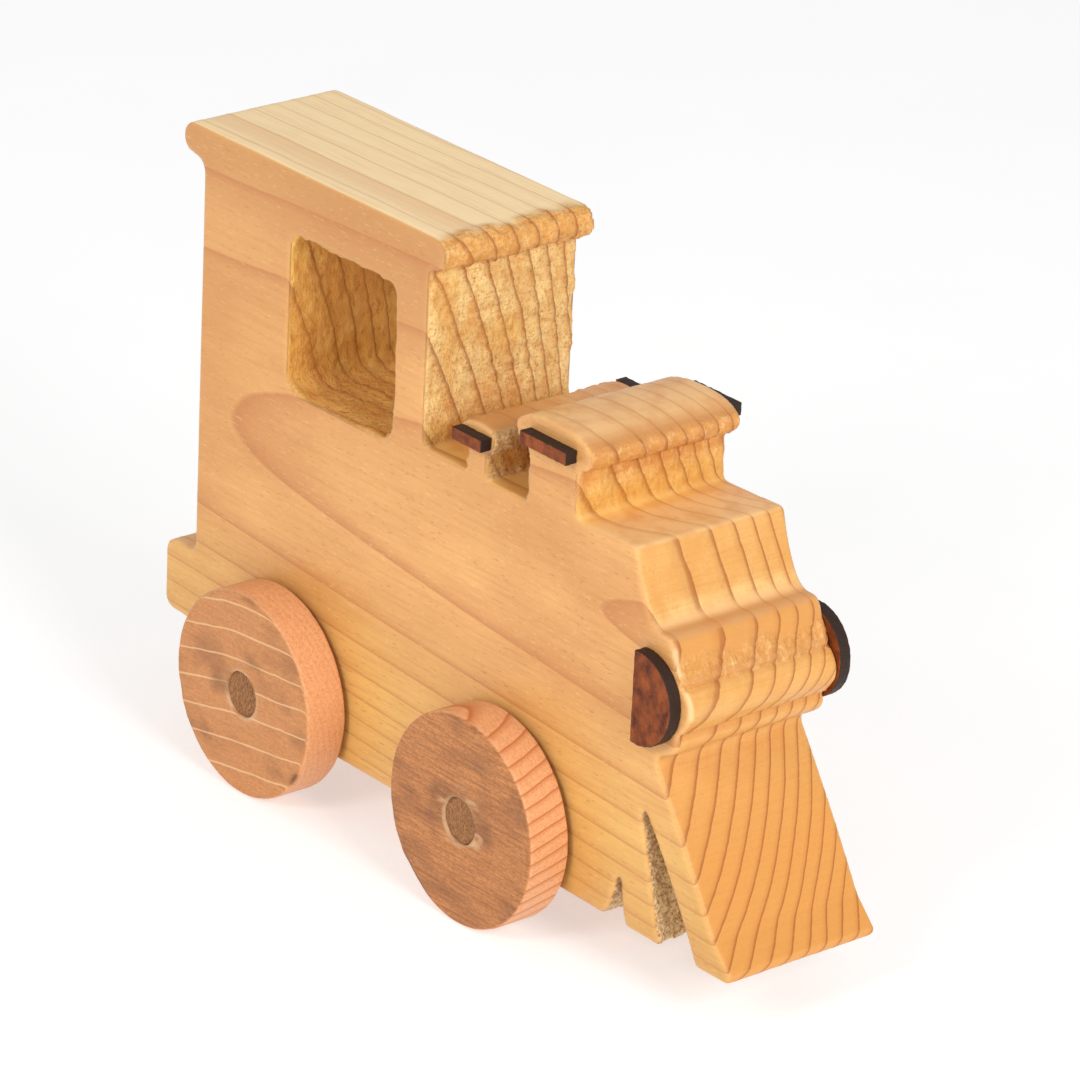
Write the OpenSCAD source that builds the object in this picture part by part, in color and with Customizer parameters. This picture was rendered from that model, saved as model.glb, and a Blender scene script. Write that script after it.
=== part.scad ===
// Toy train locomotive sawn from one thick board, on two turning wheelsets.
// +X points to the nose, +Y to the left side, +Z up. The wheels stand on z = 0, and the origin is
// below the middle of the locomotive's length and width.

/* [Board] */
// Thickness of the board, which is the width of the body
board_width = 38; // [34:0.5:42]
// Distance from the rear platform's end face to the tip of the pilot
overall_length = 184; // [184:0.5:190]
// Height of the body's underside above the ground
underside_height = 12.2; // [11:0.1:13]

/* [Cab] */
// Height of the flat roof above the ground
roof_height = 134.6; // [132:0.2:140]
// Thickness of the roof slab, which ends in a half-round bead front and rear
roof_thickness = 6.8; // [6:0.2:8]
// Position of the rear end of the roof
roof_rear = -89.4; // [-90:0.2:-88.4]
// Position of the front end of the roof
roof_front = -2.8; // [-3.2:0.2:-1.4]
// Position of the cab's rear wall
cab_rear = -82; // [-83:0.2:-81]
// Position of the cab's front wall
cab_front = -7.6; // [-8.4:0.2:-7.2]
// Width of the cab window
window_width = 34.4; // [30:0.2:36]
// Height of the cab window
window_height = 34; // [30:0.2:35]
// Height of the window sill above the ground
window_sill = 87.1; // [86:0.1:88]
// Position of the middle of the window along the cab
window_middle = -35; // [-37:0.2:-34]

/* [Rear platform] */
// Height of the platform's top above the ground
platform_top = 40.5; // [38:0.1:43]
// Height of the platform's bottom above the ground
platform_bottom = 24.6; // [20:0.1:26]

/* [Boiler] */
// Height of the sawn floor between the cab and the chimney
saddle_height = 90; // [89:0.1:91]
// Height of the boiler's top in front of the chimney
boiler_top = 92; // [91.2:0.1:93]
// Position of the boiler's upper front corner
boiler_front = 58.6; // [57:0.1:59.4]
// Height of the step above the smokebox bead
step_height = 77.3; // [76.5:0.1:78]

/* [Dome and chimney] */
// Position of the middle of the small dome
dome_middle = 9.4; // [8.6:0.1:10.2]
// Length of the small dome's stem
dome_stem = 6.2; // [5.4:0.1:7]
// Length of the small dome's cap
dome_cap = 11.2; // [10:0.1:12]
// Height of the small dome's crown above the ground
dome_crown = 101.2; // [100.6:0.1:103]
// Position of the middle of the chimney
chimney_middle = 32.3; // [31.5:0.1:33]
// Length of the chimney's stem
chimney_stem = 15.3; // [14.4:0.1:16]
// Length of the chimney's cap
chimney_cap = 23.8; // [22.6:0.1:25]
// Height of the chimney's crown above the ground
chimney_crown = 109; // [108.4:0.1:111]

/* [Wheels and axles] */
// Diameter of a wheel
wheel_diameter = 45; // [43:0.5:46]
// Thickness of a wheel
wheel_thickness = 10; // [8:0.5:12]
// Gap between a wheel and the side of the body
wheel_gap = 1; // [0.6:0.1:3]
// Distance between the two axles
wheelbase = 72; // [70:0.5:74]
// Position of the point midway between the axles
wheelbase_middle = -13.9; // [-15:0.1:-13]
// Diameter of the dowel that each axle is cut from
dowel_diameter = 10; // [8:0.5:10]
// Radial clearance of the dowel in the body's bore
running_clearance = 0.08; // [0.02:0.01:0.1]
// Radial interference of the dowel in a wheel's bore
press_interference = 0.02; // [0.01:0.01:0.03]
// Depth of the dowel's end below the wheel's outer face
dowel_recess = 0.4; // [0:0.1:1]

/* [Dark trims] */
// Thickness of the sheet that the trims are cut from
trim_thickness = 2.9; // [2:0.1:4]
// Length of the strip on the small dome
dome_trim_length = 9.2; // [8:0.1:10]
// Length of the strip on the chimney
chimney_trim_length = 14.2; // [12:0.1:16]
// Height of both strips
trim_height = 2.8; // [2:0.1:3.4]
// How far the left strips sit ahead of the right ones
left_strip_forward = 1.2; // [0:0.1:2]
// How far the left strips sit above the right ones
left_strip_raise = 1.3; // [0:0.1:1.6]
// Radius of the half-round discs beside the smokebox
disc_radius = 9.8; // [9:0.1:10.4]
// Distance from a disc's straight edge forward to its centre
disc_setback = 1.5; // [0:0.1:3]
// How far the left disc sits ahead of the right one
left_disc_forward = 3; // [0:0.1:3.4]
// How far the left disc sits above the right one
left_disc_raise = 1.2; // [0:0.1:2]

/* [Hidden] */

right = -1;
left = 1;
round_facets = 96;
overshoot = 1;
side = board_width / 2;
tail = -overall_length / 2;
toe = overall_length / 2;
wheel_radius = wheel_diameter / 2;
dowel_radius = dowel_diameter / 2;
wheel_inner = side + wheel_gap;
wheel_outer = wheel_inner + wheel_thickness;
wheel_chamfer = 0.7;
axle_front_x = wheelbase_middle + wheelbase / 2;
axle_rear_x = wheelbase_middle - wheelbase / 2;

bead_radius = roof_thickness / 2;
bead_height = roof_height - bead_radius;
front_cove = roof_front - bead_radius - cab_front;
rear_cove = 3.2;
platform_rounding = 2.6;
foot_fillet = 2.4;
saddle_fillet = 1.6;

dome_cap_bottom = dome_crown - 4.9;
dome_shoulder = dome_crown - 2.2;
dome_trim_middle = 9.3;
dome_trim_bottom = 96.7;
chimney_cap_bottom = chimney_crown - 7;
chimney_shoulder = chimney_crown - 3.5;
chimney_trim_middle = 32.5;
chimney_trim_bottom = 103;
disc_x = 64;
disc_z = 63.4;

smokebox_x = 71.6;
smokebox_z = 63.4;
smokebox_radius = 4.9;
pilot_top_x = 67.5;
pilot_top_z = 49.4;
toe_rounding = 1.5;

body_colour = [0.93, 0.74, 0.47];
wheel_colour = [0.76, 0.53, 0.36];
dowel_colour = [0.60, 0.42, 0.27];
trim_colour = [0.24, 0.13, 0.10];

// Points on an arc of a circle, in the side view.
function arc(centre, radius, from, to, steps = 8) =
    [for (i = [0:steps]) let (a = from + (to - from) * i / steps) centre + radius * [cos(a), sin(a)]];

// Points on a smooth bend that leaves start towards control and reaches end from it.
function bend(start, control, end, steps = 6) =
    [for (i = [0:steps]) let (t = i / steps)
        (1 - t) * (1 - t) * start + 2 * t * (1 - t) * control + t * t * end];

// A cap on a stem, from the stem's foot behind to its foot in front: rounded ends and a crowned top.
function capped_stem(middle, stem, cap, floor_behind, floor_ahead, cap_bottom, shoulder, crown) =
    let (rear = middle - stem / 2, front = middle + stem / 2,
         cap_rear = middle - cap / 2, cap_front = middle + cap / 2)
    concat(
        [[rear, floor_behind]],
        bend([rear, cap_bottom - 0.6], [cap_rear, cap_bottom - 0.2], [cap_rear, shoulder]),
        bend([cap_rear, shoulder], [cap_rear + cap * 0.12, crown], [middle + cap * 0.06, crown]),
        bend([middle + cap * 0.06, crown], [cap_front - cap * 0.1, crown], [cap_front, shoulder]),
        bend([cap_front, shoulder], [cap_front, cap_bottom], [front, cap_bottom - 0.8]),
        bend([front, floor_ahead + saddle_fillet], [front, floor_ahead],
             [front + saddle_fillet, floor_ahead], 4)
    );

function rear_outline() = concat(
    bend([-66, underside_height], [-74, underside_height], [-76, 18.2]),
    bend([-76, 18.2], [-78, platform_bottom - 0.6], [-86, platform_bottom]),
    arc([tail + platform_rounding, platform_bottom + platform_rounding], platform_rounding, 270, 180, 4),
    arc([tail + platform_rounding, platform_top - platform_rounding], platform_rounding, 180, 90, 4),
    bend([cab_rear - foot_fillet, platform_top], [cab_rear, platform_top],
         [cab_rear, platform_top + foot_fillet], 4)
);

function roof_outline() = concat(
    arc([cab_rear - rear_cove, roof_height - roof_thickness - rear_cove], rear_cove, 0, 90, 5),
    arc([roof_rear + bead_radius, bead_height], bead_radius, 270, 90),
    arc([roof_front - bead_radius, bead_height], bead_radius, 90, -90),
    arc([cab_front + front_cove, roof_height - roof_thickness - front_cove], front_cove, 90, 180, 5),
    bend([cab_front, saddle_height + saddle_fillet], [cab_front, saddle_height],
         [cab_front + saddle_fillet, saddle_height], 4)
);

function nose_outline() = concat(
    arc([boiler_front - 1.4, boiler_top - 1.4], 1.4, 90, 15, 4),
    bend([boiler_front + 0.7, boiler_top - 4], [62, 80], [64.6, step_height + 0.6]),
    [[66, step_height], [68.2, step_height]],
    bend([68.2, step_height], [70.4, step_height], [71.2, 73.4]),
    bend([71.2, 73.4], [72, 70], [74.2, 68.6], 4),
    arc([smokebox_x, smokebox_z], smokebox_radius, 50, -52),
    [[73.4, 57], [73.2, 55.4]],
    bend([73.2, 55.4], [72.6, 53.4], [69.2, 52.2], 4),
    bend([69.2, 52.2], [66.6, 51.4], [pilot_top_x, pilot_top_z], 4),
    bend([pilot_top_x, pilot_top_z], [77, 36], [86.6, 19.6]),
    arc([toe - toe_rounding, underside_height + toe_rounding], toe_rounding, 30, -90, 6)
);

// The side view of the body, clockwise from the underside behind the rear wheels.
module side_view() {
    polygon(concat(
        rear_outline(),
        roof_outline(),
        capped_stem(dome_middle, dome_stem, dome_cap, saddle_height, saddle_height,
                    dome_cap_bottom, dome_shoulder, dome_crown),
        capped_stem(chimney_middle, chimney_stem, chimney_cap, saddle_height, boiler_top - 0.6,
                    chimney_cap_bottom, chimney_shoulder, chimney_crown),
        nose_outline()
    ));
}

module window_view() {
    half = window_width / 2;
    low = 4.5;
    high = 3;
    sill = window_sill;
    lintel = window_sill + window_height;
    polygon(concat(
        arc([window_middle - half + low, sill + low], low, 270, 180),
        arc([window_middle - half + high, lintel - high], high, 180, 90),
        arc([window_middle + half - high, lintel - high], high, 90, 0),
        arc([window_middle + half - low, sill + low], low, 0, -90)
    ));
}

// The two saw cuts that part the pilot from the body: a short notch and a long slanting wedge.
module pilot_cuts() {
    below = underside_height - overshoot;
    polygon(concat(
        bend([53, below], [56.4, 14], [57.8, 22.3], 5),
        [[58.6, 22], [59.6, 15.4], [61.2, below]]
    ));
    polygon(concat(
        bend([71, below], [67.8, 24], [63.6, 39.4], 6),
        bend([64.4, 39.4], [73.6, 27.6], [82.4, below], 6)
    ));
}

// A round bore along Y, all the way through the body.
module bore(x, z, radius) {
    translate([x, 0, z])
        rotate([90, 0, 0])
            cylinder(r = radius, h = board_width + 2 * overshoot, center = true, $fn = round_facets);
}

module body() {
    color(body_colour)
        difference() {
            rotate([90, 0, 0])
                linear_extrude(board_width, center = true)
                    difference() {
                        side_view();
                        window_view();
                        pilot_cuts();
                    }
            bore(axle_front_x, wheel_radius, dowel_radius + running_clearance);
            bore(axle_rear_x, wheel_radius, dowel_radius + running_clearance);
        }
}

module axle(x) {
    color(dowel_colour)
        translate([x, 0, wheel_radius])
            rotate([90, 0, 0])
                cylinder(r = dowel_radius, h = 2 * (wheel_outer - dowel_recess), center = true,
                         $fn = round_facets);
}

// A plain wooden disc with broken edges, bored for the dowel.
module wheel(x, hand) {
    bore_radius = dowel_radius - press_interference;
    color(wheel_colour)
        translate([x, hand * (wheel_inner + wheel_thickness / 2), wheel_radius])
            rotate([90, 0, 0])
                rotate_extrude($fn = round_facets)
                    polygon([
                        [bore_radius, -wheel_thickness / 2],
                        [wheel_radius - wheel_chamfer, -wheel_thickness / 2],
                        [wheel_radius, -wheel_thickness / 2 + wheel_chamfer],
                        [wheel_radius, wheel_thickness / 2 - wheel_chamfer],
                        [wheel_radius - wheel_chamfer, wheel_thickness / 2],
                        [bore_radius, wheel_thickness / 2]
                    ]);
}

// A flat strip glued to one side of the body.
module strip(middle, bottom, length, hand) {
    color(trim_colour)
        translate([middle, hand * (side + trim_thickness / 2), bottom + trim_height / 2])
            cube([length, trim_thickness, trim_height], center = true);
}

// A disc glued to one side of the smokebox, cut off straight behind its centre.
module half_disc(x, z, hand) {
    color(trim_colour)
        translate([x, hand * (side + trim_thickness / 2), z])
            rotate([90, 0, 0])
                intersection() {
                    cylinder(r = disc_radius, h = trim_thickness, center = true, $fn = round_facets);
                    translate([disc_radius - disc_setback, 0, 0])
                        cube(2 * disc_radius, center = true);
                }
}

body();
axle(axle_front_x);  // axle_front
wheel(axle_front_x, right);  // wheel_front_right
wheel(axle_front_x, left);  // wheel_front_left
axle(axle_rear_x);  // axle_rear
wheel(axle_rear_x, right);  // wheel_rear_right
wheel(axle_rear_x, left);  // wheel_rear_left
strip(dome_trim_middle, dome_trim_bottom, dome_trim_length, right);  // dome_trim_right
strip(dome_trim_middle + left_strip_forward, dome_trim_bottom + left_strip_raise,  // dome_trim_left
          dome_trim_length, left);
strip(chimney_trim_middle, chimney_trim_bottom, chimney_trim_length, right);  // chimney_trim_right
strip(chimney_trim_middle + left_strip_forward, chimney_trim_bottom + left_strip_raise,  // chimney_trim_left
          chimney_trim_length, left);
half_disc(disc_x, disc_z, right);  // nose_disc_right
half_disc(disc_x + left_disc_forward, disc_z + left_disc_raise, left);  // nose_disc_left
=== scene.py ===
"""Looks of the toy train locomotive: sanded softwood body, reddish wheels on dowels, charred trims."""
import math

import bmesh
import bpy
import numpy as np
from mathutils import Matrix, Vector


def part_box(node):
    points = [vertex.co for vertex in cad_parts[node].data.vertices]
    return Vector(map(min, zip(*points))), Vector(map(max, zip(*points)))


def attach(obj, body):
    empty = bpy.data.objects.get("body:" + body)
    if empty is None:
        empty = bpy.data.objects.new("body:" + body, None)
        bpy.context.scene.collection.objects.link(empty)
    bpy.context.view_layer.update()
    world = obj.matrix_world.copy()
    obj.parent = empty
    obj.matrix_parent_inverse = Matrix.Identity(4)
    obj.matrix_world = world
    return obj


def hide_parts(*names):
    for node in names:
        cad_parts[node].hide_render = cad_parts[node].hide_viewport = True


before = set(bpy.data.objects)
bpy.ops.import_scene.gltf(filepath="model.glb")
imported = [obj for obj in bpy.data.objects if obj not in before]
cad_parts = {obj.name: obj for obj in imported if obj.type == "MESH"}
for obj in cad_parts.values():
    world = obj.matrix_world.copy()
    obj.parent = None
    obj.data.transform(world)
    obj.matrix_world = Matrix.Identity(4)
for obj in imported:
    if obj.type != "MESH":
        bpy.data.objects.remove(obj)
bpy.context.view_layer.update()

# +X is ahead, +Y is left and +Z is up. Lengths are in mm unless a comment says otherwise.
MM = 0.001
RIGHT = -1
LEFT = 1

# ---------------------------------------------------------------- the board that the body is sawn from
BOARD_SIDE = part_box("body")[1].y / MM
BOARD_WIDTH = 2 * BOARD_SIDE

# Growth rings of the board. The heart of the tree is beyond the near side, level with HEART_HEIGHT,
# and the rings climb towards the nose, so the first one opens at FIRST_RING_X on the near side.
HEART_HEIGHT = 75.8
FIRST_RING_X = -70.0
# Above and below the heart the rings bend away: how steeply, from what height on, and how much of it
# is lost at the far side.
UPPER_BEND = 0.371
UPPER_REACH = 14.9
UPPER_FLATTENING = 0.9
LOWER_BEND = 0.876
LOWER_REACH = 26.7
LOWER_FLATTENING = 0.5
# How steeply the rings climb towards the nose, and how far above and below the heart that changes.
CLIMB_AT_HEART = 0.095
CLIMB_BELOW = 0.030
CLIMB_REACH_ABOVE = 22
CLIMB_REACH_BELOW = 10.7
# In the nose, over some height, the rings also lean to the far side. The lean comes in between two
# places along X and over a part of the board's width, and some of it is lost at the far side.
NOSE_TWIST = 0.33
NOSE_TWIST_FROM = 77.5
NOSE_TWIST_HEIGHT = 14.5
NOSE_TWIST_X = (46, 60)
NOSE_TWIST_EDGE = 0.16
NOSE_TWIST_LOSS = 0.3
# Rings per mm on the heart's side of the first ring, at the first ring, and their rise per mm beyond.
RINGS_INSIDE = 0.090
RINGS_AT_FIRST = 0.0891
RINGS_RISE = 0.0037

# Places on the body, seen from the side: the span along X, the span along Z and the soft margins of
# the two.
CAB_WALL = ((-10, -2), (88, 127), 1.5, 2)
PALE_CAB_WALL = ((-10, -2), (92, 126), 1, 2)
SADDLE = ((-4, 26), (88, 103), 2, 2)
SADDLE_FLOOR = ((-8.5, 26), (88, 93), 1, 3)
WINDOW = ((-54, -15.5), (85, 123), 1, 1)
WINDOW_AND_SILL = ((-54, -15.5), (84, 123), 1, 1)
NOTCH = ((13, 25), (89, 101), 1, 1)
DOME_TOP = ((5, 16), (97, 106), 3, 2)
CAP_FRONT = ((40, 52), (99, 109.5), 3, 1)
NECK = ((37, 46), (93, 106), 1, 2)
NECK_FOOT = ((38, 40.5), (88, 94), 6, 6)
BOILER_COVE = ((58, 66), (77, 79), 1, 3)
SAW_CUTS = ((50, 90), (12.5, 42), 1, 0.5)
UPPER_KNOCK = ((66, 73.5), (70.5, 75), 0.6, 0.6)
LOWER_KNOCK = ((74, 77.5), (62.5, 67.5), 0.6, 0.6)
# The pilot's back: its place along X at one height, and how far it leans ahead per mm down.
PILOT_BACK_X = 66
PILOT_BACK_Z = 49.4
PILOT_LEAN = 0.62
# The grooves above and below the smokebox bead: height and half width.
UPPER_GROOVE = (68.3, 0.6)
LOWER_GROOVE = (57.5, 0.7)
GROOVE_DEPTH = 0.9

BODY_VOXEL = 0.6
BODY_SANDING_ROUNDS = 3
TRIM_VOXEL = 0.16
TRIM_SANDING_ROUNDS = 4

# ---------------------------------------------------------------- wheels and axles
WHEEL_BORE = 5.03
WHEEL_EASE = 0.8
WHEEL_SEGMENTS = 192
DOWEL_CORE = 0.25
DOWEL_SEGMENTS = 72
# The direction across the rings, the rings per mm, how damaged the hub is and the noise seed.
LINED_GRAIN = {"normal": (-0.037, 0.97, 0.24), "per_mm": 0.694, "damage": 0.2, "seed": 5}
STREAKED_GRAIN = {"normal": (-0.28, -0.27, 1.0), "per_mm": 0.37, "damage": 1.0, "seed": 9}

# ---------------------------------------------------------------- floor, light and camera
# These lengths are in metres, apart from the lens and the sensor, which are in mm.
FLOOR_REACH = 3.0
FLOOR_GLOW = 0.50
WORLD_STRENGTH = 0.56
LIGHT_AIM = (0, 0, 0.06)
KEY_LIGHT = {"place": (0.15, -1.0, 0.75), "size": 0.35, "power": 4.2}
FILL_LIGHT = {"place": (1.0, -0.15, 0.60), "size": 0.40, "power": 6.8}
CAMERA_AZIMUTH = 49.594
CAMERA_ELEVATION = 23.231
CAMERA_ROLL = 2.784
CAMERA_AIM = (0.02976, -0.0190, 0.08343)
CAMERA_DISTANCE = 1.22336
CAMERA_LENS = 209.52
CAMERA_SENSOR = 36

# ---------------------------------------------------------------- numbers for whole arrays of points
HASH_X = 374761393
HASH_Y = 668265263
HASH_Z = 1442695041
HASH_SEED = 974634777
HASH_MIX = 1274126177
HASH_BITS = 0xFFFFFFFF
LOW_BITS = 0xFFFF


def lattice_value(cell, seed):
    """A repeatable value from 0 to 1 for each whole-number cell."""
    x, y, z = (cell[:, i].astype(np.int64) for i in range(3))
    h = (x * HASH_X + y * HASH_Y + z * HASH_Z + seed * HASH_SEED) & HASH_BITS
    h = ((h ^ (h >> 13)) * HASH_MIX) & HASH_BITS
    return ((h ^ (h >> 16)) & LOW_BITS) / LOW_BITS


def noise(points, size, seed):
    """Smooth noise from -1 to 1 whose features are about size long, in mm; size is a number or three."""
    p = points / np.asarray(size, float)
    cell = np.floor(p)
    t = p - cell
    t = t * t * (3 - 2 * t)
    total = np.zeros(len(p))
    for corner in np.ndindex(2, 2, 2):
        weight = np.prod(np.where(corner, t, 1 - t), axis=1)
        total += weight * lattice_value(cell + corner, seed)
    return total * 2 - 1


def fractal(points, size, seed):
    """Noise with finer noise of half the size and half the strength on top."""
    fine = noise(points, np.asarray(size, float) / 2, seed + 1) / 2
    return noise(points, size, seed) + fine


def step(values, low, high):
    """0 below low, 1 above high, smooth between."""
    t = np.clip((values - low) / (high - low), 0, 1)
    return t * t * (3 - 2 * t)


def within(values, low, high, soft):
    """1 between low and high, falling to 0 over a soft margin."""
    return step(values, low - soft, low) * (1 - step(values, high, high + soft))


def region(p, x_span, z_span, x_soft, z_soft):
    """1 inside a place on the body, seen from the side, falling to 0 over its soft margins."""
    return within(p[:, 0], *x_span, x_soft) * within(p[:, 2], *z_span, z_soft)


def sawn_across(n, low=0.5, high=0.9):
    """1 where the surface was sawn across the board, 0 on the board's two long faces."""
    return 1 - step(np.abs(n[:, 1]), low, high)


def groove(z, height, half_width):
    """1 along a level groove, falling off smoothly above and below it."""
    return np.exp(-((z - height) / half_width) ** 2)


# ---------------------------------------------------------------- meshes
def points_of(mesh):
    """The mesh's points in mm, one row each."""
    co = np.empty(len(mesh.vertices) * 3, np.float32)
    mesh.vertices.foreach_get("co", co)
    return co.reshape(-1, 3).astype(float) / MM


def set_points(mesh, points):
    """Moves the mesh's points to the given places in mm."""
    mesh.vertices.foreach_set("co", (points * MM).astype(np.float32).ravel())
    mesh.update()


def normals_of(mesh):
    """The mesh's normals, one row for each point."""
    n = np.empty(len(mesh.vertices) * 3, np.float32)
    mesh.vertices.foreach_get("normal", n)
    return n.reshape(-1, 3).astype(float)


def edges_of(mesh):
    """The two points of each edge."""
    e = np.empty(len(mesh.edges) * 2, np.int32)
    mesh.edges.foreach_get("vertices", e)
    return e.reshape(-1, 2)


def relaxed(points, edges, weight, rounds):
    """The points after rounds of moving each towards the mean of its neighbours."""
    count = len(points)
    ends = np.concatenate([edges[:, 0], edges[:, 1]])
    others = np.concatenate([edges[:, 1], edges[:, 0]])
    degree = np.bincount(ends, minlength=count)[:, None]
    for _ in range(rounds):
        mean = np.stack([np.bincount(ends, points[others, i], count) for i in range(3)], 1) / degree
        points = points + (mean - points) * weight[:, None]
    return points


def store(mesh, name, values):
    """Keeps one value for each point under a name that the materials read."""
    layer = mesh.attributes.new(name, "FLOAT", "POINT")
    layer.data.foreach_set("value", np.asarray(values, np.float32))


def evenly_meshed(node, name, voxel):
    """A copy of a CAD node's mesh, rebuilt from small even faces."""
    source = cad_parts[node].data.copy()
    weld = bmesh.new()
    weld.from_mesh(source)
    bmesh.ops.remove_doubles(weld, verts=weld.verts, dist=1e-6)
    weld.to_mesh(source)
    weld.free()
    blank = bpy.data.objects.new("blank", source)
    bpy.context.scene.collection.objects.link(blank)
    remesh = blank.modifiers.new("even", "REMESH")
    remesh.mode = "VOXEL"
    remesh.voxel_size = voxel * MM
    shape = blank.evaluated_get(bpy.context.evaluated_depsgraph_get())
    mesh = bpy.data.meshes.new_from_object(shape)
    bpy.data.objects.remove(blank)
    mesh.name = name
    return mesh


def new_piece(name, mesh, material, body, slot, *nodes):
    """A finished piece that stands for its CAD nodes and rides on a body."""
    piece = bpy.data.objects.new(name, mesh)
    bpy.context.scene.collection.objects.link(piece)
    mesh.materials.clear()
    mesh.materials.append(material)
    mesh.polygons.foreach_set("use_smooth", [True] * len(mesh.polygons))
    mesh.update()
    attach(piece, body)
    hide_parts(*nodes)


# ---------------------------------------------------------------- shader building
def linear(red, green, blue):
    """A colour given as it looks on screen, 0 to 255, as the shader wants it."""
    def one(v):
        v = v / 255
        return v / 12.92 if v <= 0.04045 else ((v + 0.055) / 1.055) ** 2.4
    return (one(red), one(green), one(blue), 1.0)


class Shader:
    """Short names for the nodes that the materials are made of."""

    def __init__(self, name, specular=0.35):
        self.material = bpy.data.materials.new(name)
        self.material.use_nodes = True
        self.tree = self.material.node_tree
        self.surface = self.tree.nodes["Principled BSDF"]
        self.surface.inputs["Specular IOR Level"].default_value = specular
        self.place = self.tree.nodes.new("ShaderNodeTexCoord").outputs["Object"]

    def feed(self, socket, value):
        """Links a node's output to the socket, or sets a plain value on it."""
        if isinstance(value, bpy.types.NodeSocket):
            self.tree.links.new(value, socket)
        else:
            socket.default_value = value

    def math(self, kind, a, b=0.0):
        n = self.tree.nodes.new("ShaderNodeMath")
        n.operation = kind
        self.feed(n.inputs[0], a)
        self.feed(n.inputs[1], b)
        return n.outputs[0]

    def plus(self, a, b):
        return self.math("ADD", a, b)

    def minus(self, a, b):
        return self.math("SUBTRACT", a, b)

    def times(self, a, b):
        return self.math("MULTIPLY", a, b)

    def attribute(self, name):
        """The values that store() kept under this name."""
        n = self.tree.nodes.new("ShaderNodeAttribute")
        n.attribute_name = name
        return n.outputs["Fac"]

    def noise(self, per_mm, detail=3.0, roughness=0.55, turn=(0, 0, 0)):
        """Noise with the given features per millimetre along X, Y and Z."""
        m = self.tree.nodes.new("ShaderNodeMapping")
        self.feed(m.inputs["Vector"], self.place)
        m.inputs["Rotation"].default_value = turn
        m.inputs["Scale"].default_value = [v / MM for v in per_mm]
        n = self.tree.nodes.new("ShaderNodeTexNoise")
        self.feed(n.inputs["Vector"], m.outputs[0])
        n.inputs["Scale"].default_value = 1.0
        n.inputs["Detail"].default_value = detail
        n.inputs["Roughness"].default_value = roughness
        return n.outputs["Fac"]

    def curve(self, value, *stops):
        """Maps value through (position, height) stops."""
        n = self.tree.nodes.new("ShaderNodeValToRGB")
        ramp = n.color_ramp
        while len(ramp.elements) < len(stops):
            ramp.elements.new(0.5)
        for element, (position, height) in zip(ramp.elements, stops):
            element.position = position
            element.color = (height, height, height, 1)
        self.feed(n.inputs[0], value)
        return n.outputs[0]

    def mix(self, amount, a, b):
        """Colour a where the amount is 0, colour b where it is 1."""
        n = self.tree.nodes.new("ShaderNodeMix")
        n.data_type = "RGBA"
        n.clamp_factor = True
        factor, first, second, mixed = n.inputs[0], n.inputs[6], n.inputs[7], n.outputs[2]
        self.feed(factor, amount)
        self.feed(first, a)
        self.feed(second, b)
        return mixed

    def tint(self, colour, mask, most, tone):
        """The colour with a tone laid over it by the mask, and at most that much of it."""
        return self.mix(self.times(mask, most), colour, tone)

    def finish(self, colour, roughness, height, distance):
        """Joins colour, roughness and a height map, with bumps of a distance in mm, to the surface."""
        bump = self.tree.nodes.new("ShaderNodeBump")
        bump.inputs["Strength"].default_value = 1.0
        bump.inputs["Distance"].default_value = distance * MM
        self.feed(bump.inputs["Height"], height)
        self.feed(self.surface.inputs["Base Color"], colour)
        self.feed(self.surface.inputs["Roughness"], roughness)
        self.feed(self.surface.inputs["Normal"], bump.outputs[0])
        return self.material


# ---------------------------------------------------------------- materials
def board_face(s, soft_line, fibre, cloud):
    """The board's long faces: peach above, straw below, with soft rings, fibres and pores."""
    clouds = s.curve(cloud, (0.30, 0.0), (0.70, 1.0))
    high = s.mix(clouds, linear(244, 184, 113), linear(214, 150, 86))
    low = s.mix(clouds, linear(238, 188, 108), linear(214, 160, 86))
    pores = s.noise((0.45, 2.6, 2.6), 2.0, 0.6)
    face = s.mix(s.attribute("height"), low, high)
    face = s.tint(face, s.attribute("crown"), 0.7, linear(200, 142, 86))
    face = s.tint(face, soft_line, 0.64, linear(192, 114, 62))
    face = s.mix(s.curve(fibre, (0.46, 0.0), (0.72, 0.42)), face, linear(206, 140, 82))
    face = s.mix(s.curve(pores, (0.27, 0.60), (0.38, 0.0)), face, linear(192, 124, 70))
    return s.mix(s.curve(pores, (0.62, 0.0), (0.72, 0.35)), face, linear(255, 208, 146))


def board_sawn(s, crisp_line, torn, lifted_flake_highlight, sunk_pit_shade, patch, saw_marks, speck):
    """Surfaces sawn across the board: golden, with crisp rings, torn flakes and saw marks; painted
    highlights on the lifted flakes, painted shade in the pits.
    """
    sawn = s.mix(s.attribute("height"), linear(218, 150, 75), linear(224, 168, 96))
    sawn = s.tint(sawn, torn, 0.4, linear(236, 172, 92))
    sawn = s.tint(sawn, s.attribute("straw"), 0.8, linear(246, 212, 142))
    # Browner wood in places, plus painted shade in the two grooves round the bead.
    sawn = s.tint(sawn, s.attribute("amber_wood_and_groove_shade"), 0.65, linear(204, 130, 62))
    # Painted highlight on the raised torn flakes, then painted shade in the sunk pits between them.
    sawn = s.mix(lifted_flake_highlight, sawn, linear(255, 230, 168))
    sawn = s.mix(sunk_pit_shade, sawn, linear(206, 138, 60))
    sawn = s.mix(s.curve(patch, (0.42, 0.0), (0.70, 0.65)), sawn, linear(218, 152, 76))
    sawn = s.mix(s.curve(saw_marks, (0.45, 0.0), (0.75, 0.35)), sawn, linear(206, 138, 66))
    sawn = s.mix(s.curve(speck, (0.32, 0.40), (0.46, 0.0)), sawn, linear(204, 138, 68))
    sawn = s.tint(sawn, s.curve(speck, (0.30, 0.8), (0.46, 0.0)), torn, linear(184, 120, 56))
    return s.tint(sawn, crisp_line, 0.74, linear(156, 80, 26))


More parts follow.
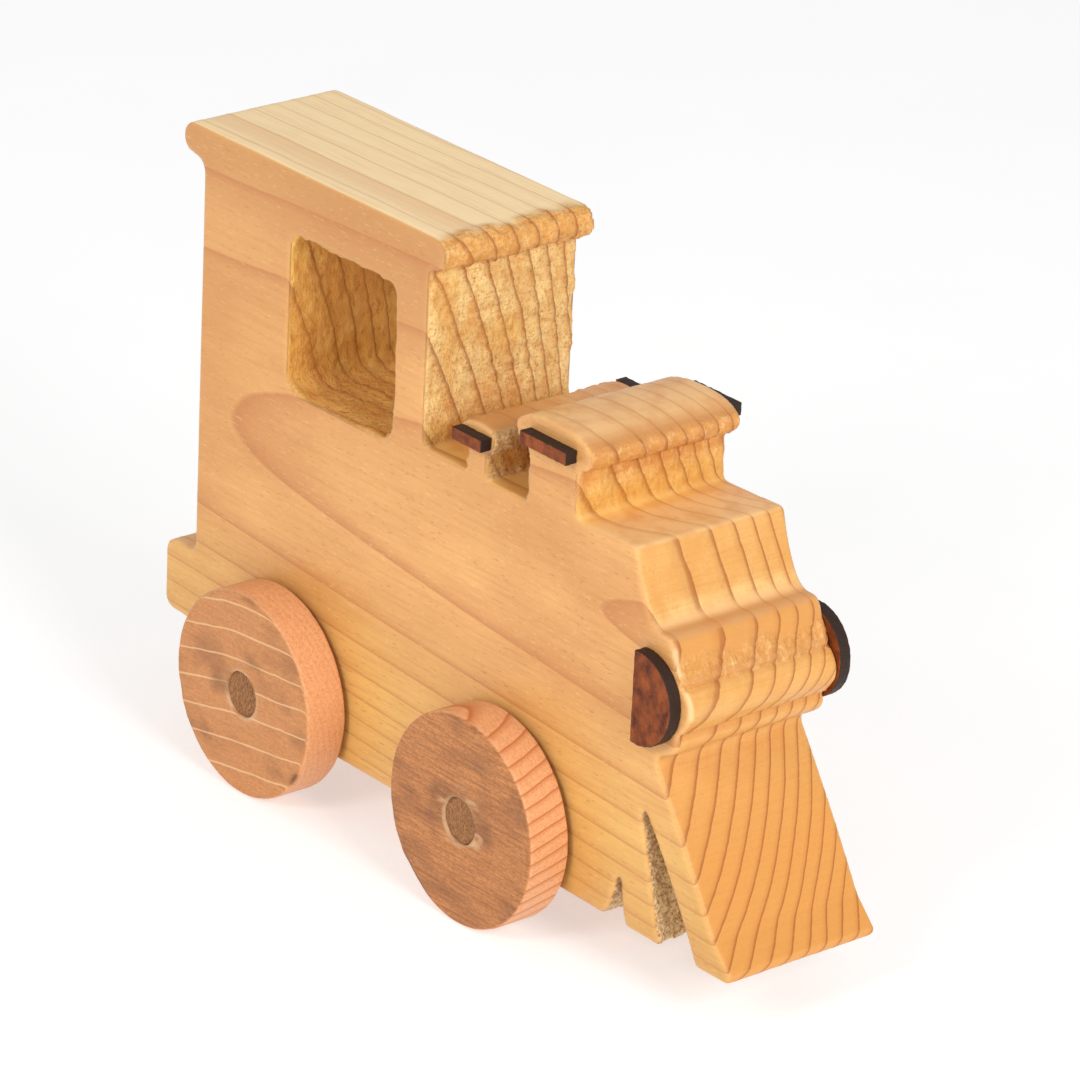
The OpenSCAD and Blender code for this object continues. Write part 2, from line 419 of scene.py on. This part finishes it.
def board_upward(s, crisp_line, patch):
    """Surfaces that face up below the roof: caps, ledge and platform."""
    upward = s.tint(linear(238, 187, 126), s.attribute("amber_wood_and_groove_shade"), 0.80, linear(192, 126, 66))
    upward = s.tint(upward, crisp_line, 0.36, linear(178, 110, 58))
    return s.mix(s.curve(patch, (0.45, 0.0), (0.75, 0.7)), upward, linear(210, 140, 78))


def board_roof(s, soft_line, broad_band, fibre):
    """The roof: pale cream with faint lines and one broad darker band."""
    roof = s.tint(linear(255, 224, 172), broad_band, 0.36, linear(222, 160, 104))
    roof = s.tint(roof, soft_line, 0.42, linear(206, 146, 88))
    return s.mix(s.curve(fibre, (0.46, 0.0), (0.74, 0.40)), roof, linear(226, 176, 118))


def board_pooled(s, crisp_line, sunk_pit_shade, patch, cloud):
    """Where the finish pooled and turned deep yellow."""
    pooled = s.tint(linear(246, 196, 98), crisp_line, 0.75, linear(150, 84, 30))
    pooled = s.mix(s.curve(patch, (0.40, 0.0), (0.70, 0.6)), pooled, linear(224, 156, 60))
    # Painted shade in the pits of the torn grain.
    pooled = s.mix(sunk_pit_shade, pooled, linear(188, 116, 40))
    return s.mix(s.curve(cloud, (0.42, 0.0), (0.60, 0.45)), pooled, linear(200, 124, 50))


def board_crumbs(s, speck):
    """The crumbly wood in the saw cuts and in the notch between dome and chimney."""
    return s.mix(s.curve(speck, (0.36, 0.0), (0.60, 1.0)), linear(140, 104, 64), linear(238, 210, 160))


def board_material():
    """Oiled softwood: soft peach figure on the long faces, crisp rings on the sawn edges."""
    s = Shader("board_softwood")
    end = s.attribute("end_grain")
    torn = s.attribute("torn")
    waver = s.minus(s.noise((0.05, 0.5, 0.3)), 0.5)
    waver = s.times(waver, s.plus(s.times(end, 0.09), 0.01))
    count = s.plus(s.attribute("ring"), waver)
    ring = s.math("FRACT", count)
    broad_band = s.curve(s.times(count, 0.1), (0.30, 0.0), (0.33, 0.8), (0.395, 1.0), (0.40, 0.0))
    soft_line = s.curve(ring, (0, 0), (0.62, 0), (0.86, 0.22), (0.95, 0.70), (0.985, 1), (1, 0))
    crisp_line = s.curve(ring, (0, 0), (0.62, 0), (0.84, 0.26), (0.91, 0.80), (0.98, 1), (1, 0))
    fibre = s.noise((0.06, 1.4, 1.4), 5.0, 0.6)
    cloud = s.noise((0.018, 0.040, 0.040))
    speck = s.noise((1.5, 1.5, 1.5), 3.0, 0.7)
    patch = s.noise((0.16, 0.20, 0.12))
    flake = s.noise((0.8, 0.8, 0.45), 4.0, 0.65)
    saw_marks = s.noise((2.4, 0.10, 2.4), 2.0, 0.6)
    # The flake noise also drives the bump: where it is high the torn grain gets a painted highlight,
    # where it is low painted shade in the pits.
    lifted_flake_highlight = s.times(s.curve(flake, (0.50, 0.0), (0.66, 0.55)), torn)
    sunk_pit_shade = s.times(s.curve(flake, (0.34, 0.65), (0.46, 0.0)), torn)

    sawn = board_sawn(s, crisp_line, torn, lifted_flake_highlight, sunk_pit_shade, patch, saw_marks, speck)
    colour = s.mix(end, board_face(s, soft_line, fibre, cloud), sawn)
    colour = s.mix(s.attribute("upward"), colour, board_upward(s, crisp_line, patch))
    smooth_roof = s.times(s.attribute("roof"), s.minus(1.0, torn))
    colour = s.mix(smooth_roof, colour, board_roof(s, soft_line, broad_band, fibre))
    # A pale cream tint along the sanded-round edges is a painted highlight; where the near edge was
    # knocked off, it is the colour of bare wood.
    colour = s.tint(colour, s.attribute("edge"), 0.30, linear(255, 214, 160))
    pooled = board_pooled(s, crisp_line, sunk_pit_shade, patch, cloud)
    colour = s.tint(colour, s.attribute("golden"), 0.75, pooled)
    colour = s.tint(colour, s.attribute("grey"), 0.80, board_crumbs(s, speck))

    rough = s.plus(0.38, s.times(torn, 0.30))
    pits = s.times(flake, s.plus(s.times(torn, 1.3), 0.04))
    along = s.times(fibre, 0.05)
    marks = s.times(s.times(saw_marks, end), 0.10)
    ridge = s.times(s.times(crisp_line, end), 0.12)
    relief = s.plus(s.plus(pits, along), s.plus(ridge, marks))
    return s.finish(colour, rough, relief, 0.55)


def wheel_material(name, light, dark, line, line_amount, streak_amount, band_amount, grain_angle):
    """Reddish wood whose rings show as thin lines on the faces and as broad bands on the tread."""
    s = Shader(name)
    waver = s.times(s.minus(s.noise((0.06, 0.10, 0.10)), 0.5), 0.3)
    ring = s.math("FRACT", s.plus(s.attribute("ring"), waver))
    thin = s.curve(ring, (0, 1), (0.025, 0.8), (0.045, 0), (0.955, 0), (0.985, 0.8), (1, 1))
    band = s.curve(ring, (0, 0), (0.55, 0), (0.80, 0.40), (0.93, 1), (1, 0))
    turn = (0, math.radians(grain_angle), 0)
    streak = s.noise((0.10, 1.0, 1.6), 5.0, 0.65, turn)
    fine = s.noise((0.9, 2.0, 2.4), 3.0, 0.65, turn)
    smudge = s.noise((0.05, 0.08, 0.10), 3.0, 0.55, turn)
    speck = s.noise((2.4, 2.4, 2.4), 2.0, 0.6)

    face = s.mix(s.curve(streak, (0.36, streak_amount), (0.60, 0.0)), light, dark)
    face = s.mix(s.curve(fine, (0.34, 0.55), (0.58, 0.0)), face, dark)
    face = s.mix(s.curve(smudge, (0.52, 0.0), (0.74, 0.60)), face, linear(112, 66, 38))
    face = s.tint(face, thin, line_amount, line)
    tread = s.tint(linear(230, 168, 118), band, band_amount, linear(182, 94, 44))
    tread = s.mix(s.curve(fine, (0.36, 0.5), (0.58, 0.0)), tread, linear(196, 124, 78))
    colour = s.mix(s.attribute("rim"), face, tread)
    # Pale tint of the chipped hub, plus a painted highlight round the bore.
    colour = s.tint(colour, s.attribute("chips_and_bore_highlight"), 0.75, linear(226, 186, 142))
    colour = s.tint(colour, s.attribute("dark"), 0.80, linear(96, 56, 34))

    relief = s.plus(s.times(streak, 0.22), s.times(fine, 0.16))
    relief = s.plus(relief, s.times(speck, 0.05))
    return s.finish(colour, 0.42, relief, 0.35)


def dowel_material():
    """Sawn dowel: brown and porous."""
    s = Shader("dowel_end")
    pores = s.noise((3.0, 3.0, 1.4), 4.0, 0.75)
    deep = s.curve(pores, (0.35, 1.0), (0.60, 0.0))
    colour = s.mix(deep, linear(192, 134, 84), linear(122, 76, 42))
    return s.finish(colour, 0.7, pores, 0.5)


def trim_material():
    """Thin sheet cut by heat: reddish faces, black edges."""
    s = Shader("trim_sheet", specular=0.2)
    mottled = s.noise((0.35, 0.35, 0.25), 4.0, 0.65)
    speck = s.noise((3.0, 3.0, 3.0), 3.0, 0.6)
    face = s.mix(s.curve(mottled, (0.30, 0.0), (0.75, 1.0)), linear(78, 32, 14), linear(178, 90, 38))
    edge = s.mix(speck, linear(30, 18, 13), linear(64, 45, 36))
    colour = s.mix(s.attribute("char"), face, edge)
    return s.finish(colour, 0.50, speck, 0.15)


# ---------------------------------------------------------------- body
def board_rings(p):
    """Number of growth rings from the near side to each point; a dark line ends at each whole number."""
    x, y, z = p.T
    across = (y + BOARD_SIDE) / BOARD_WIDTH
    above = np.maximum(z - HEART_HEIGHT, 0)
    below = np.maximum(HEART_HEIGHT - z, 0)
    upper = UPPER_BEND * UPPER_REACH * (np.hypot(1, above / UPPER_REACH) - 1)
    lower = LOWER_BEND * LOWER_REACH * (np.hypot(1, below / LOWER_REACH) - 1)
    climb = np.where(
        z > HEART_HEIGHT,
        CLIMB_AT_HEART / (1 + (above / CLIMB_REACH_ABOVE) ** 2),
        CLIMB_BELOW + (CLIMB_AT_HEART - CLIMB_BELOW) / (1 + (below / CLIMB_REACH_BELOW) ** 2),
    )
    depth = y + BOARD_SIDE - climb * (x - FIRST_RING_X)
    depth += upper * (1 - UPPER_FLATTENING * across) + lower * (1 - LOWER_FLATTENING * across)
    twist = step(across, 0, NOSE_TWIST_EDGE) * (1 - NOSE_TWIST_LOSS * across) * step(x, *NOSE_TWIST_X)
    depth -= NOSE_TWIST * twist * np.clip(z - NOSE_TWIST_FROM, 0, NOSE_TWIST_HEIGHT)
    depth += 0.35 * noise(p, (60, 14, 18), 3) + 0.12 * noise(p, (22, 5, 6), 4)
    return np.where(depth > 0, depth * (RINGS_AT_FIRST + RINGS_RISE * depth), depth * RINGS_INSIDE)


def smokebox_step(p, n):
    """The rough lower part of the step between the boiler's front and the bead."""
    x, y, z = p.T
    ragged = z + 1.4 * noise(p, (4, 4, 4), 27)
    above_bead = step(x, 69, 70.5) * step(z, 67.6, 68.4)
    return above_bead * (1 - step(ragged, 71.6, 73.4)) * step(n[:, 0], 0.2, 0.5)


def smokebox_grooves(p, n):
    """The two grooves that set the bead off from the step above it and the lip below it."""
    x, y, z = p.T
    grooves = np.maximum(groove(z, *UPPER_GROOVE), groove(z, *LOWER_GROOVE))
    return step(x, 70.5, 72) * step(n[:, 0], 0.0, 0.4) * grooves


def torn_grain(p, n):
    """Where the saw left the end grain rough, from 0 to 1."""
    x, y, z = p.T
    facing_ahead = step(n[:, 0], 0.25, 0.75)
    upright = step(np.abs(n[:, 0]), 0.3, 0.7)
    across = sawn_across(n)
    cab_wall = region(p, *CAB_WALL) * facing_ahead
    saddle = region(p, *SADDLE) * upright
    window = region(p, *WINDOW) * across
    roof_bead = step(x + 1.5 * noise(p, (3, 3, 3), 23), -9, -4) * step(z, 124, 126) * across
    neck = region(p, *NECK) * facing_ahead * 0.7
    smokebox = smokebox_step(p, n) * 0.7
    return np.clip(np.maximum.reduce([cab_wall, saddle, window, roof_bead, neck, smokebox]), 0, 1)


def slot_inside(p, n):
    """The two saw cuts below the smokebox."""
    x, y, z = p.T
    behind_pilot = step(PILOT_BACK_X + (PILOT_BACK_Z - z) * PILOT_LEAN - x, 0, 1.5)
    return region(p, *SAW_CUTS) * behind_pilot * sawn_across(n, 0.3, 0.7)


def rough_notch(p, n):
    """The rough notch between the dome and the chimney."""
    return region(p, *NOTCH) * step(np.abs(n[:, 0]), 0.3, 0.7)


def amber_wood_and_groove_shade(p, n):
    """Browner wood on the smokebox step, on the dome and on the front of the chimney cap, and painted
    shade in the two grooves round the bead.
    """
    x, y, z = p.T
    across = sawn_across(n)
    smokebox = step(x, 64.5, 67) * within(z, 68.2, 77.5, 0.6) * across
    dome = region(p, *DOME_TOP) * across * (0.4 + 0.6 * step(-y, -6, 12))
    cap_front = region(p, *CAP_FRONT) * across * step(n[:, 0], 0.10, 0.6)
    # The grooves take the browner tint at full strength: painted shade in the grooves.
    return np.maximum.reduce([0.8 * smokebox, dome, cap_front, smokebox_grooves(p, n)])


def golden(p, n):
    """Where the finish pooled: in the window, in the coves and in patches of the torn grain."""
    across = sawn_across(n)
    window = region(p, *WINDOW_AND_SILL) * across
    saddle = region(p, *SADDLE_FLOOR) * across * 0.8
    neck = region(p, *NECK_FOOT) * across * 0.8
    patches = step(noise(p, (6, 7, 10), 81), 0.15, 0.7) * torn_grain(p, n) * 0.5
    return np.clip(np.maximum.reduce([window, saddle, neck, patches]), 0, 1)


def straw(p, torn):
    """Paler wood on the torn cab wall and in the cove at the foot of the boiler's front."""
    return np.maximum(torn * region(p, *PALE_CAB_WALL), 0.7 * region(p, *BOILER_COVE))


def upward(p, n):
    """Surfaces that face up below the roof, without the pilot's toe."""
    x, y, z = p.T
    off_pilot = 1 - step(x, 55, 62) * (1 - step(z, 48, 54))
    return step(n[:, 2], 0.55, 0.9) * (1 - step(z, 126, 130)) * off_pilot


def knocks(p, n):
    """Where the near edge beside the nose disc was knocked off to bare wood."""
    near_edge = step(-p[:, 1], 17.6, 18.3) * step(np.abs(n[:, 0]), 0.15, 0.4)
    return near_edge * np.maximum(region(p, *UPPER_KNOCK), region(p, *LOWER_KNOCK))


def make_body():
    """The sawn board: edges sanded round by hand, torn end grain and rings in relief."""
    mesh = evenly_meshed("body", "train_body", BODY_VOXEL)
    sawn = points_of(mesh)
    pressure = 0.42 + 0.14 * noise(sawn, 18, 11)
    p = relaxed(sawn, edges_of(mesh), pressure, BODY_SANDING_ROUNDS)
    set_points(mesh, p)
    n = normals_of(mesh)
    sanded_off = np.einsum("ij,ij->i", sawn - p, n)

    end = sawn_across(n, 0.5, 0.8)
    torn = torn_grain(p, n)
    cut = slot_inside(p, n)
    bare = knocks(p, n)
    rings = board_rings(p)
    late = step(np.mod(rings, 1), 0.80, 0.94)
    flakes = fractal(p, (1.6, 1.3, 2.0), 21)
    relief = torn * (0.42 * flakes + 0.22 * late + 0.25 * noise(p, (5, 3, 7), 25))
    relief += end * (0.08 * fractal(p, (9, 9, 9), 31) + 0.05 * late)
    relief += np.maximum(cut, rough_notch(p, n)) * 0.32 * fractal(p, 1.4, 41)
    relief += (1 - end) * 0.05 * noise(p, 24, 51)
    relief -= GROOVE_DEPTH * smokebox_grooves(p, n)
    p = p + n * (relief - 0.05)[:, None]
    set_points(mesh, p)

    store(mesh, "ring", rings)
    store(mesh, "end_grain", end)
    store(mesh, "torn", torn)
    # edge: painted highlight along the sanded-round edges, plus bare wood where the near edge was
    # knocked off.
    store(mesh, "edge", np.clip(sanded_off / 0.35, 0, 1) + 1.6 * bare)
    store(mesh, "roof", step(n[:, 2], 0.75, 0.97) * step(p[:, 2], 128, 131))
    store(mesh, "upward", upward(p, n))
    store(mesh, "height", step(p[:, 2] + 5 * noise(p, 40, 61), 28, 62))
    store(mesh, "crown", step(p[:, 2], 96, 132))
    store(mesh, "straw", straw(p, torn))
    store(mesh, "golden", golden(p, n))
    store(mesh, "amber_wood_and_groove_shade", amber_wood_and_groove_shade(p, n))
    store(mesh, "grey", np.maximum(cut, 0.6 * rough_notch(p, n)))
    new_piece("train_body", mesh, board_material(), "locomotive", "body_wood", "body")


# ---------------------------------------------------------------- wheels and axles
def lathe(outline, segments):
    """A closed ring-shaped mesh: outline's (radius, along) points turned about Y."""
    angles = np.linspace(0, 2 * math.pi, segments, endpoint=False)
    outline = np.asarray(outline, float)
    count = len(outline)
    rings = [
        np.stack([outline[:, 0] * math.cos(a), outline[:, 1], outline[:, 0] * math.sin(a)], 1)
        for a in angles
    ]
    faces = []
    for i in range(segments):
        j = (i + 1) % segments
        for k in range(count):
            m = (k + 1) % count
            faces.append((i * count + k, i * count + m, j * count + m, j * count + k))
    mesh = bpy.data.meshes.new("turned")
    mesh.from_pydata((np.concatenate(rings) * MM).tolist(), [], faces)
    mesh.update()
    fix = bmesh.new()
    fix.from_mesh(mesh)
    bmesh.ops.recalc_face_normals(fix, faces=fix.faces)
    fix.to_mesh(mesh)
    fix.free()
    return mesh


def round_size(node):
    """Centre, radius and half the length of a round CAD node that lies along Y."""
    low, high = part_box(node)
    centre = (low + high) / 2 / MM
    radius = (high.x - low.x) / 2 / MM
    half = (high.y - low.y) / 2 / MM
    return np.array(centre), radius, half


def wheel_outline(radius, half):
    """Section of a wheel: flat faces with many rings of points, and rounded rim edges."""
    face = np.linspace(WHEEL_BORE, radius - WHEEL_EASE, 36)
    inset = half - WHEEL_EASE
    turn = np.radians(np.linspace(90, 0, 6))[1:]
    corner = [(face[-1] + WHEEL_EASE * math.cos(a), inset + WHEEL_EASE * math.sin(a)) for a in turn]
    upper = [(r, half) for r in face] + corner
    tread = [(radius, y) for y in np.linspace(inset, -inset, 10)[1:-1]]
    lower = [(r, -y) for r, y in reversed(upper)]
    return upper + tread + lower


def make_wheel(node, body, hand, grain, material):
    """A wheel with uneven faces, a chipped outer side and rings that run right through it."""
    centre, radius, half = round_size(node)
    mesh = lathe(wheel_outline(radius - 0.05, half), WHEEL_SEGMENTS)
    p = points_of(mesh)
    n = normals_of(mesh)
    from_axis = np.hypot(p[:, 0], p[:, 2])
    seed = grain["seed"]
    local = p + np.array([seed * 37.0, 0, 0])
    outer = step(p[:, 1] * hand, half - 1.2, half - 0.2)
    rim = step(np.hypot(n[:, 0], n[:, 2]), 0.45, 0.9) * step(from_axis, radius * 0.5, radius * 0.6)
    hub = within(from_axis, 5.0, 6.4, 1.8) * outer * step(fractal(local, (4.6, 3, 1.1), seed), 0.0, 0.5)
    hub *= grain["damage"]
    lip_noise = step(noise(local, (3, 3, 3), seed + 9), -0.5, 0.2)
    # A thin pale ring round the bore on the outer face: a painted highlight.
    bore_lip = within(from_axis, 5.0, 5.3, 0.35) * outer * lip_noise
    edge_noise = step(noise(local, 6, seed + 5), 0.35, 0.8)
    edge_chip = step(from_axis, radius - 1.8, radius - 0.7) * outer * edge_noise
    relief = 0.06 * fractal(local, (7, 7, 1.2), seed + 2) - 0.40 * hub - 0.22 * edge_chip
    relief += rim * 0.12 * noise(local, (14, 20, 14), seed + 3) - 0.06
    relief = np.where(from_axis < WHEEL_BORE + 0.02, 0.0, relief)
    p = p + n * relief[:, None]
    set_points(mesh, p + centre)

    normal = np.array(grain["normal"], float)
    normal /= np.linalg.norm(normal)
    depth = local @ normal
    depth += 0.35 * noise(local, (26, 60, 26), seed + 7)
    around_hub = within(from_axis, 5.0, 8.5, 3.5) * step(noise(local, (9, 5, 5), seed + 8), 0.0, 0.7)
    store(mesh, "ring", depth * grain["per_mm"])
    store(mesh, "rim", rim)
    # Pale tint of the chipped hub, plus the painted highlight round the bore.
    store(mesh, "chips_and_bore_highlight", np.clip(0.7 * hub + 0.9 * bore_lip, 0, 1))
    store(mesh, "dark", np.clip(edge_chip + 0.6 * around_hub * outer * (1 - hub), 0, 1))
    new_piece(node + "_wood", mesh, material, body, "wheel_wood", node)


def close_ends(mesh):
    """Takes the thin core out of a turned rod and closes its two ends with small flat faces."""
    core = 1.2 * DOWEL_CORE * MM
    rod = bmesh.new()
    rod.from_mesh(mesh)
    inner = [f for f in rod.faces if all(math.hypot(v.co.x, v.co.z) < core for v in f.verts)]
    bmesh.ops.delete(rod, geom=inner, context="FACES")
    bmesh.ops.holes_fill(rod, edges=[e for e in rod.edges if e.is_boundary], sides=0)
    bmesh.ops.recalc_face_normals(rod, faces=rod.faces)
    rod.to_mesh(mesh)
    rod.free()


def make_axle(node, body, material):
    """A dowel with sawn, slightly uneven ends."""
    centre, radius, half = round_size(node)
    flat = [(r, half) for r in np.linspace(DOWEL_CORE, radius - 0.4, 14)]
    end = flat + [(radius - 0.1, half - 0.12), (radius, half - 0.5)]
    middle = [(radius, y) for y in np.linspace(half - 0.5, -half + 0.5, 8)[1:-1]]
    mesh = lathe(end + middle + [(r, -y) for r, y in reversed(end)], DOWEL_SEGMENTS)
    close_ends(mesh)
    p = points_of(mesh)
    on_end = step(np.abs(p[:, 1]), half - 0.4, half - 0.1)
    saw_marks = 0.16 * fractal(p + centre[0], (1.3, 3.0, 4.0), 71)
    p[:, 1] += np.sign(p[:, 1]) * on_end * (saw_marks - 0.1)
    set_points(mesh, p + centre)
    new_piece(node + "_dowel", mesh, material, body, "dowel_wood", node)


# ---------------------------------------------------------------- trims
def make_trim(node, seed, material):
    """Softens the sharp edges of a sheet-cut trim and marks which faces the cut charred."""
    mesh = evenly_meshed(node, node + "_sheet", TRIM_VOXEL)
    p = points_of(mesh)
    p = relaxed(p, edges_of(mesh), np.full(len(p), 0.45), TRIM_SANDING_ROUNDS)
    set_points(mesh, p)
    n = normals_of(mesh)
    char = 1 - step(np.abs(n[:, 1]) + 0.1 * noise(p, 0.8, seed), 0.72, 0.92)
    relief = 0.05 * fractal(p, 0.9, seed + 1) * (0.4 + char) - 0.03
    set_points(mesh, p + n * relief[:, None])
    store(mesh, "char", char)
    new_piece(node + "_sheet", mesh, material, "locomotive", "trim_wood", node)


# ---------------------------------------------------------------- floor, light and camera
def make_floor():
    """A pale grey floor that glows a little, so that it looks almost white."""
    mesh = bpy.data.meshes.new("floor")
    corners = ((-1, -1), (1, -1), (1, 1), (-1, 1))
    mesh.from_pydata([(x * FLOOR_REACH, y * FLOOR_REACH, 0) for x, y in corners], [], [(0, 1, 2, 3)])
    floor = bpy.data.objects.new("floor", mesh)
    bpy.context.scene.collection.objects.link(floor)
    s = Shader("pale_floor")
    paper = s.noise((0.02, 0.02, 0.02), 2.0)
    s.finish(s.mix(paper, (0.60, 0.60, 0.60, 1), (0.63, 0.63, 0.63, 1)), 0.9, paper, 0.02)
    s.surface.inputs["Emission Color"].default_value = (1, 1, 1, 1)
    s.surface.inputs["Emission Strength"].default_value = FLOOR_GLOW
    mesh.materials.append(s.material)


def soft_light(name, place, size, power):
    """A square area light that faces the locomotive."""
    data = bpy.data.lights.new(name, "AREA")
    data.size = size
    data.energy = power
    lamp = bpy.data.objects.new(name, data)
    lamp.location = place
    lamp.rotation_euler = (Vector(LIGHT_AIM) - Vector(place)).to_track_quat("-Z", "Y").to_euler()
    bpy.context.scene.collection.objects.link(lamp)


def make_light():
    """A white surround, one light ahead of the near side and one ahead of the nose."""
    world = bpy.data.worlds.new("studio")
    world.use_nodes = True
    background = world.node_tree.nodes["Background"]
    background.inputs["Color"].default_value = (1, 1, 1, 1)
    background.inputs["Strength"].default_value = WORLD_STRENGTH
    bpy.context.scene.world = world
    soft_light("key", **KEY_LIGHT)
    soft_light("fill", **FILL_LIGHT)


def make_camera():
    """A long lens from the front right and above, turned slightly about its own axis."""
    azimuth = math.radians(CAMERA_AZIMUTH)
    elevation = math.radians(CAMERA_ELEVATION)
    roll = math.radians(CAMERA_ROLL)
    level = math.cos(elevation)
    back = Vector((math.sin(azimuth) * level, -math.cos(azimuth) * level, math.sin(elevation)))
    right = Vector((math.cos(azimuth), math.sin(azimuth), 0))
    up = back.cross(right)
    rolled_right = right * math.cos(roll) + up * math.sin(roll)
    rolled_up = back.cross(rolled_right)
    data = bpy.data.cameras.new("camera")
    data.lens = CAMERA_LENS
    data.sensor_width = CAMERA_SENSOR
    data.clip_start = 0.01
    camera = bpy.data.objects.new("camera", data)
    turned = Matrix((rolled_right, rolled_up, back)).transposed().to_4x4()
    camera.matrix_world = Matrix.Translation(Vector(CAMERA_AIM) + back * CAMERA_DISTANCE) @ turned
    bpy.context.scene.collection.objects.link(camera)
    bpy.context.scene.camera = camera


# ---------------------------------------------------------------- the whole scene
dowel_wood = dowel_material()
trim_wood = trim_material()
lined_wood = wheel_material(
    "wheel_lined",
    light=linear(214, 146, 86),
    dark=linear(176, 108, 58),
    line=linear(246, 206, 152),
    line_amount=0.65,
    streak_amount=0.35,
    band_amount=0.22,
    grain_angle=8,
)
streaked_wood = wheel_material(
    "wheel_streaked",
    light=linear(212, 140, 78),
    dark=linear(138, 80, 38),
    line=linear(232, 174, 116),
    line_amount=0.0,
    streak_amount=0.62,
    band_amount=0.9,
    grain_angle=16,
)

make_body()
for name, body, hand, grain, material in (
    ("wheel_rear_right", "rear_wheelset", RIGHT, LINED_GRAIN, lined_wood),
    ("wheel_rear_left", "rear_wheelset", LEFT, STREAKED_GRAIN, streaked_wood),
    ("wheel_front_right", "front_wheelset", RIGHT, STREAKED_GRAIN, streaked_wood),
    ("wheel_front_left", "front_wheelset", LEFT, LINED_GRAIN, lined_wood),
):
    make_wheel(name, body, hand, grain, material)
make_axle("axle_front", "front_wheelset", dowel_wood)
make_axle("axle_rear", "rear_wheelset", dowel_wood)
for place, name in enumerate(("dome_trim", "chimney_trim", "nose_disc")):
    make_trim(name + "_right", 100 + 10 * place, trim_wood)
    make_trim(name + "_left", 105 + 10 * place, trim_wood)

make_floor()
make_light()
make_camera()
bpy.context.scene.view_settings.view_transform = "Standard"
